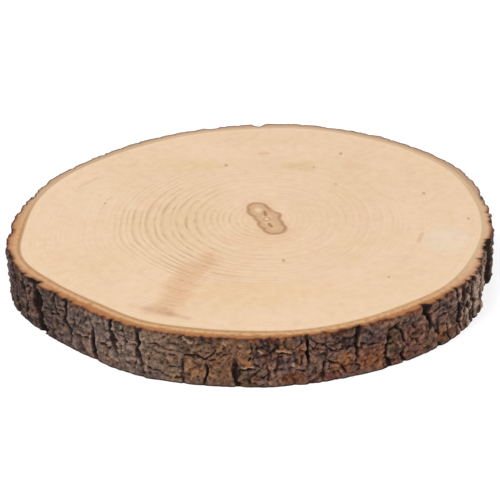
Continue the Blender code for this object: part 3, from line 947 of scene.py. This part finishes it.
def chipped_rim(bearing, height):
    """How deep the upper rim is chipped, most of all in front."""
    chip = smooth(grain(bearing, height, 2.6 * MM, seed=35) * 1.6) * 0.7
    chip += smooth(grain(bearing, height, 6 * MM, seed=36) * 2) * 0.6
    in_front = 0.3 + 0.7 * smooth(0.5 - np.sin(np.radians(bearing)))
    return CHIP_DEPTH * chip * in_front * (1 - smooth((THICKNESS - height) / CHIP_REACH))


def bark_relief(bearing, height):
    """How far the bark's surface lies inside its reach, and what a finish needs to know of it."""
    from_top = THICKNESS - height
    calm = 0.2 + 0.8 * smooth(height / CALM_REACH)
    ragged = 1 + 0.5 * grain(bearing, height, 4 * MM, seed=11)
    ragged += 0.3 * grain(bearing, height, 1.7 * MM, seed=12)
    jagged = degrees_of(1.3 * MM) * grain(bearing, height, 4.5 * MM, seed=13)
    jagged += degrees_of(0.6 * MM) * grain(bearing, height, 1.8 * MM, seed=15)
    jagged *= calm
    drift = 0.8 * MM * grain(bearing, height, 4 * MM, seed=14)
    shed, bare = shed_bark(bearing, height)
    lifted, flake = lifted_flakes(bearing, height, jagged, drift)
    depth = set_back(bearing) + SWELL_RISE * (1 + grain(bearing, height, SWELL_SIZE, seed=3)) / 2
    depth += KNOB_RISE * (1 + grain(bearing, height, KNOB_SIZE, seed=5)) / 2
    depth += shed - lifted

    # Furrows and cracks, which are not cut as deep at the foot and at the sawn upper rim
    cut, wide_cut = furrow_cut(bearing, height, ragged, jagged)
    cut = np.maximum(cut, crack_cut(bearing, height, ragged, jagged, drift))
    # Painted shade: they are painted darker by their depth, and the wide one black all over as painted shadow
    # on its far wall
    painted_wall_shadow = 2.3 + 1.3 * grain(bearing, height, 2.8 * MM, seed=39, stretch=2.5)
    painted_wall_shadow += 0.6 * grain(bearing, height, 1.4 * MM, seed=40)
    painted_furrow_shade = np.maximum(cut / MM * (1 - flake), painted_wall_shadow * shadowed_wall(bearing + 1.6 * jagged))
    cut *= 0.4 + 0.6 * smooth(height / FOOT_REACH)
    cut = np.maximum(cut, wide_cut)
    cut *= 1 - (1 - RIM_SHARE) * smooth(1 - from_top / RIM_REACH)

    relief, low, level = scaly_plates(bearing, height)
    behind = smooth((np.sin(np.radians(bearing)) - 0.1) / 0.5) * smooth(1 - from_top / (4 * MM))
    depth += relief * calm * (1 - 0.6 * behind) + 0.5 * MM * (1 - calm)
    fraying = frayed(bearing) * strips(bearing, height) * calm * smooth(from_top / (2.5 * MM))
    depth += STRIP_DEPTH * fraying + chipped_rim(bearing, height)
    most = DEEPEST_SHARE * (reach(BARK_REACH, bearing) - reach(WOOD_REACH, bearing))
    depth = np.minimum(depth + cut, most)
    ridges = smooth(grain(bearing, height, 3 * MM, seed=38, stretch=2) * 1.5)
    depth -= FLOOR_RIDGE * smooth(cut / (2 * MM)) * ridges
    return depth, painted_furrow_shade, bare, low * (1 - flake), level, flake


def hollows(depth):
    """How much deeper each place of the rough side lies than the bark about it, in mm."""
    whole = depth.reshape(-1, AROUND + 1)
    rows = UP_SIDE + 1
    side = whole[:rows, :-1]
    padded = np.pad(side, ((HOLLOW_STEP, HOLLOW_STEP), (0, 0)), mode="edge")
    steps = (-HOLLOW_STEP, 0, HOLLOW_STEP)
    about = sum(np.roll(padded, along, axis=1)[HOLLOW_STEP + up:HOLLOW_STEP + up + rows]
                for along in steps for up in steps) / len(steps) ** 2
    result = np.zeros_like(whole)
    result[:rows, :-1] = side - about
    result[:, -1] = result[:, 0]
    return result.ravel() / MM


def draw_back_tones():
    """Colours that stand out along the back, of the same kinds as those in front."""
    draw = np.random.default_rng(BACK_TONES_SEED)
    tones = []
    for bearing in np.arange(BACK_TONES_FROM, BACK_TONES_TO, BACK_TONES_STEP):
        tones.append((
            bearing + draw.uniform(-1.5, 1.5),
            draw.uniform(3, 29),
            draw.uniform(8, 18),
            draw.uniform(8, 26),
            BACK_KINDS[draw.integers(len(BACK_KINDS))],
        ))
    return tones


def bark_tone(bearing, height, level, flake):
    """The colour of the outer bark: its scales' own colours, the tones laid on it, and painted highlight on
    its raised strips with painted shade on the sunken ones.
    """
    tone = np.empty((*np.shape(bearing), 4))
    tone[:] = shade(GREY_BROWN)
    kinds = [DARK_VIOLET, RED_BROWN, GREY_BROWN, TAN, PALE_BROWN]
    pick = np.clip(((level + 1) / 2 * len(kinds)).astype(int), 0, len(kinds) - 1)
    own = np.array([shade(kind) for kind in kinds])[pick]
    shift = degrees_of(2.2 * MM) * grain(bearing, height, 6 * MM, seed=51)
    shift += degrees_of(1.0 * MM) * grain(bearing, height, 2.5 * MM, seed=52)
    lift = 1.6 * MM * grain(bearing, height, 6 * MM, seed=53)
    lift += 0.8 * MM * grain(bearing, height, 2.5 * MM, seed=54)
    for turn, up, width, tallness, kind in BARK_TONES + draw_back_tones():
        right = np.abs(arc_between(turn, bearing + shift)) / (width * MM / 2)
        above = np.abs(height + lift - up * MM) / (tallness * MM / 2)
        here = 1 - smooth((np.maximum(right, above) - 0.8) / 0.35)
        tone += (np.array(shade(kind)) - tone) * 0.85 * here[..., None]
    share = np.clip(0.22 + 0.26 * grain(bearing, height, 7 * MM, seed=55), 0, 1)
    tone += (own - tone) * share[..., None]
    strip = strips(bearing, height)
    # Painted highlight on the raised strips, and painted shade on the sunken ones
    strip_highlight_share = 0.85 * frayed(bearing) * smooth(-strip * 3.5 - 0.4)
    tone += (np.array(shade(STRIP_HIGHLIGHT)) - tone) * strip_highlight_share[..., None]
    dark = 0.95 * frayed(bearing) * smooth(strip * 3.5)
    tone += (np.array(shade(STRIP_SHADE)) - tone) * dark[..., None]
    tone += (np.array(shade(FLAKE)) - tone) * 0.6 * flake[..., None]
    return tone


def draw_in(bearing, height):
    """How far the bark is drawn in towards its foot."""
    toward = np.cos(np.radians(bearing - DRAW_IN_BEARING)).clip(0) ** DRAW_IN_FALL
    return DRAW_IN * toward * (1 - height / THICKNESS)


def to_rough_edge(radius, outer):
    """How far each place lies in from the rough edge, whichever way the edge is nearest, in mm."""
    here = radius.reshape(-1, AROUND + 1)[:, :-1]
    edge = outer.reshape(-1, AROUND + 1)[:, :-1]
    step = math.tau * MEAN_RADIUS / AROUND
    away = np.min([np.hypot(np.maximum(np.roll(edge, along, axis=1) - here, 0), along * step)
                   for along in range(-EDGE_COLUMNS, EDGE_COLUMNS + 1)], axis=0)
    return np.append(away, away[:, :1], axis=1).ravel() / MM


def make_bark():
    section = UP_SIDE + ACROSS_TOP + DOWN_INSIDE + ACROSS_FOOT
    bpy.ops.object.select_all(action="DESELECT")
    bpy.ops.mesh.primitive_grid_add(x_subdivisions=AROUND, y_subdivisions=section, size=2)
    bark = bpy.context.object
    bark.name = "furrowed_bark"
    place = np.empty(len(bark.data.vertices) * 3)
    bark.data.vertices.foreach_get("co", place)
    place = place.reshape(-1, 3)
    bearing = np.mod((place[:, 0] + 1) * 180, 360)
    # Steps along the section: up the rough side, in over the top, down the wood and out under the foot
    step = np.round((place[:, 1] + 1) / 2 * section)
    up = np.clip(step / UP_SIDE, 0, 1)
    inward_top = np.clip((step - UP_SIDE) / ACROSS_TOP, 0, 1)
    down = np.clip((step - UP_SIDE - ACROSS_TOP) / DOWN_INSIDE, 0, 1)
    outward_foot = np.clip((step - UP_SIDE - ACROSS_TOP - DOWN_INSIDE) / ACROSS_FOOT, 0, 1)
    height = THICKNESS * (up - down)
    inward = inward_top - outward_foot
    depth, painted_furrow_shade, bare, low, level, flake = bark_relief(bearing, height)
    outer = reach(BARK_REACH, bearing) + PLATE_RISE - depth - draw_in(bearing, height)
    wood = reach(WOOD_REACH, bearing)
    radius = outer + (wood - outer) * inward ** 1.4
    angle = np.radians(bearing)
    x = radius * np.cos(angle) - CENTRE[0]
    y = radius * np.sin(angle) - CENTRE[1]
    points = np.stack([x, y, height], axis=1)
    bark.data.vertices.foreach_set("co", points.ravel())
    # Kept as cut: painted shade for the furrows and cracks, and painted shadow for the wide furrow's far wall
    store(bark.data, "cut", painted_furrow_shade)
    store(bark.data, "bare", bare)
    store(bark.data, "low", low)
    store(bark.data, "hollow", hollows(depth))
    store(bark.data, "under", (outer - radius) / MM)
    store(bark.data, "to_edge", to_rough_edge(radius, outer))
    store(bark.data, "from_wood", (radius - wood) / MM)
    store_colour(bark.data, "tone", bark_tone(bearing, height, level, flake))
    clean_up(BARK_SHARP_ANGLE)
    return bark


def rough_bark(finish, up, across, mottle, speckle):
    """Rough outer bark: its laid colours under pale grit and dark pits, with painted highlights on proud
    places and painted shade in hollows, between scales, in furrows and cracks and along the foot.
    """
    place = finish.place()
    cut = finish.stored("cut")
    hollow = finish.stored("hollow")
    tone = finish.add("Attribute", {"attribute_name": "tone"}, {}, "Color")
    lighter = finish.vector("SCALE", tone, Scale=2.1)
    lighter = finish.mix(0.45, lighter, shade("b5937a"))
    # Painted highlight: places that stand proud of the bark about them are painted lighter, more so towards
    # the left
    painted_highlight_on_proud = hollow.rise(-0.08, -0.6) * (across.rise(-20, -80) * 0.25 + 0.5)
    colour = finish.mix(painted_highlight_on_proud, tone, lighter)
    # Painted shade in the hollows, partly the bark's own darker crevices
    colour = finish.mix(hollow.rise(0.05, 0.55) * 0.85, colour, shade("2a1a15"))
    colour = finish.mix(mottle.rise(0.5, 0.37) * 0.6, colour, shade("2c1b16"))
    colour = finish.mix(mottle.rise(0.54, 0.68) * 0.5, colour, lighter)
    colour = finish.mix(speckle.rise(0.6, 0.74) * 0.3, colour, shade("c2a28a"))
    colour = finish.mix(speckle.rise(0.43, 0.32) * 0.4, colour, shade("2c1b16"))
    rust = finish.mix(mottle.rise(0.38, 0.62), shade("5c3422"), shade("a3683f"))
    patches = finish.noise(place, 5, 3)
    colour = finish.mix(finish.stored("bare") * patches.rise(0.3, 0.5) * 0.4, colour, rust)
    rim_rust = (THICKNESS / MM - up).rise(4.5, 0.8) * patches.rise(0.46, 0.6)
    colour = finish.mix(rim_rust * (across.rise(-80, 20) * 0.35 + 0.3), colour, rust)
    # Painted shade in the gaps between scales and on the deeper-set scales
    colour = finish.mix(finish.stored("low").rise(0.25, 0.75) * 0.65, colour, shade("281912"))
    # Painted shade in furrows and cracks by their depth, and painted shadow in the wide furrow at the right
    # end
    colour = finish.mix(cut.rise(0.4, 1.4) * 0.78, colour, shade("30201b"))
    colour = finish.mix(cut.rise(1.3, 2.8) * 0.85, colour, shade("1e1310"))
    # Painted contact shadow along the foot
    colour = finish.mix(up.rise(1.5, 0.3) * 0.75, colour, shade("1d120d"))
    # It is darker at the left end, greyer past it, redder to the right and paler at the right end
    tint = finish.mix(across.rise(-124, -76), (0.56, 0.52, 0.56, 1), (1.1, 1.1, 1.15, 1))
    tint = finish.mix(across.rise(-75, -10), tint, (0.95, 0.79, 0.73, 1))
    tint = finish.mix(across.rise(106, 126), tint, (1.02, 0.93, 0.9, 1))
    return finish.mix(1.0, colour, tint, "MULTIPLY")


def sawn_bark(finish, across):
    """Sawn inner bark: an olive band at the wood, a tan one, an orange-brown one and a ragged dark rind."""
    place = finish.place()
    to_edge = finish.stored("to_edge")
    from_wood = finish.stored("from_wood")
    fibre = finish.noise(place, 1.3, 4, 0.6)
    blotch = finish.noise(place, 3.2, 4, 0.6)
    waver = finish.noise(place, 6, 3) * 1.2 - 0.6
    out = from_wood + waver
    colour = finish.mix(out.rise(1.2, 2.8), shade("cfa67b"), shade("ddad7c"))
    colour = finish.mix(out.rise(3.4, 6.0) * 0.8, colour, shade("bd8353"))
    colour = finish.mix(blotch.rise(0.47, 0.64) * 0.45, colour, shade("bb7f50"))
    colour = finish.mix(fibre.rise(0.5, 0.7) * 0.3, colour, shade("a06a3e"))
    colour = finish.mix((out + blotch * 5).rise(5.6, 7.6) * 0.55, colour, shade("a8693d"))
    at_left = across.rise(40, -10)
    colour = finish.mix(abs(out - 1.1).rise(0.7, 0.1) * at_left * 0.55, colour, shade("ab7c50"))
    at_back = finish.part(place, "Y").rise(0, 60)
    at_right = across.rise(105, 135)
    paler = finish.mix(out.rise(1.4, 3.0), shade("dcc39c"), shade("e0b797"))
    colour = finish.mix(at_back.math("MAXIMUM", at_right * 0.8) * 0.8, colour, paler)
    colour = finish.mix(at_back * across.rise(-50, -95) * 0.5, colour, shade("c4a285"))
    colour = finish.mix(at_back * out.rise(1.8, 4.0) * 0.6, colour, shade("b3937a"))
    colour = finish.mix(across.rise(-100, -128) * out.rise(2.2, 3.4) * 0.6, colour, shade("d3a27c"))
    rind = 1.0 - at_right * 0.2
    brown = finish.mix(at_back, shade("8a5230"), shade("a48b76"))
    within = to_edge + blotch * 4 + at_back * 0.8
    colour = finish.mix(within.rise(4.8, 2.6) * rind * 0.8, colour, brown)
    dark = finish.mix(at_back, shade("4c2c1a"), shade("7c685a"))
    within = to_edge + fibre * 2.4 - at_back * 0.4
    colour = finish.mix(within.rise(2.4, 1.5) * rind * 0.88, colour, dark)
    cambium = from_wood.rise(0.8, 0.2) * (1.0 - at_back) * (at_left * 0.4 + 0.1)
    return finish.mix(cambium, colour, shade("b08a60"))


def bark_finish():
    finish = Finish("furrowed_bark")
    place = finish.place()
    up = finish.part(place, "Z")
    across = finish.part(place, "X")
    mottle = finish.noise(place, 3.2, 4, 0.62)
    speckle = finish.noise(place, 1.2, 3, 0.6)
    sawn = finish.stored("under").rise(0.02, 0.3)
    outside = rough_bark(finish, up, across, mottle, speckle)
    finish.feed("Base Color", finish.mix(sawn, outside, sawn_bark(finish, across)))
    finish.feed("Roughness", 0.95 - sawn * 0.15)
    finish.feed("Specular IOR Level", 0.25)
    finish.bump([(mottle, 1.0, 0.7), (speckle, 0.4, 0.7)])
    return finish.material


furrowed_bark = make_bark()
furrowed_bark.data.materials.append(bark_finish())
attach(furrowed_bark, "root")
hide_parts("wood_slice")


# The floor, the light and the camera
# A plain white floor in soft studio light. The camera looks down at the slice's front from 30.5
# degrees above the level.

FLOOR_WIDTH = 12
FLOOR_DROP = 0.1 * MM
FLOOR_GLOW = 0.76
STUDIO_GLOW = 0.4
bpy.ops.object.select_all(action="DESELECT")
bpy.ops.mesh.primitive_plane_add(size=FLOOR_WIDTH, location=(0, 0, -FLOOR_DROP))
floor = bpy.context.object
floor.name = "floor"
floor_finish = Finish("white_floor")
floor_finish.feed("Base Color", (0.38, 0.38, 0.38, 1))
floor_finish.feed("Emission Color", (1, 1, 1, 1))
floor_finish.feed("Emission Strength", FLOOR_GLOW)
floor_finish.feed("Roughness", 0.9)
floor_finish.feed("Specular IOR Level", 0.0)
floor.data.materials.append(floor_finish.material)

world = bpy.data.worlds.new("studio")
bpy.context.scene.world = world
world.use_nodes = True
background = world.node_tree.nodes["Background"]
background.inputs["Color"].default_value = (1, 1, 1, 1)
background.inputs["Strength"].default_value = STUDIO_GLOW

# Name, place, width in metres and power in watts of each lamp
LAMPS = [("key", (-0.9, -0.8, 2.4), 0.9, 35),
         ("fill", (1.4, -0.8, 1.6), 1.2, 7.5),
         ("back", (0.1, 1.5, 2.0), 1.2, 5)]
for name, spot, width, power in LAMPS:
    bpy.ops.object.light_add(type="AREA", location=spot)
    lamp = bpy.context.object
    lamp.name = name
    lamp.data.size = width
    lamp.data.energy = power
    toward = -lamp.location.normalized()
    lamp.rotation_euler = toward.to_track_quat("-Z", "Y").to_euler()

LOOK_AT = (-CENTRE[0], -CENTRE[1], THICKNESS / 2)
DISTANCE = 1.19
ELEVATION = math.radians(30.5)
SENSOR_WIDTH = 36
LENS = 139.7
back_off = DISTANCE * math.cos(ELEVATION)
rise = DISTANCE * math.sin(ELEVATION)
bpy.ops.object.camera_add(
    location=(LOOK_AT[0], LOOK_AT[1] - back_off, LOOK_AT[2] + rise),
    rotation=(math.pi / 2 - ELEVATION, 0, 0))
camera = bpy.context.object
camera.data.sensor_width = SENSOR_WIDTH
camera.data.lens = LENS
bpy.context.scene.camera = camera
bpy.context.scene.view_settings.view_transform = "Standard"
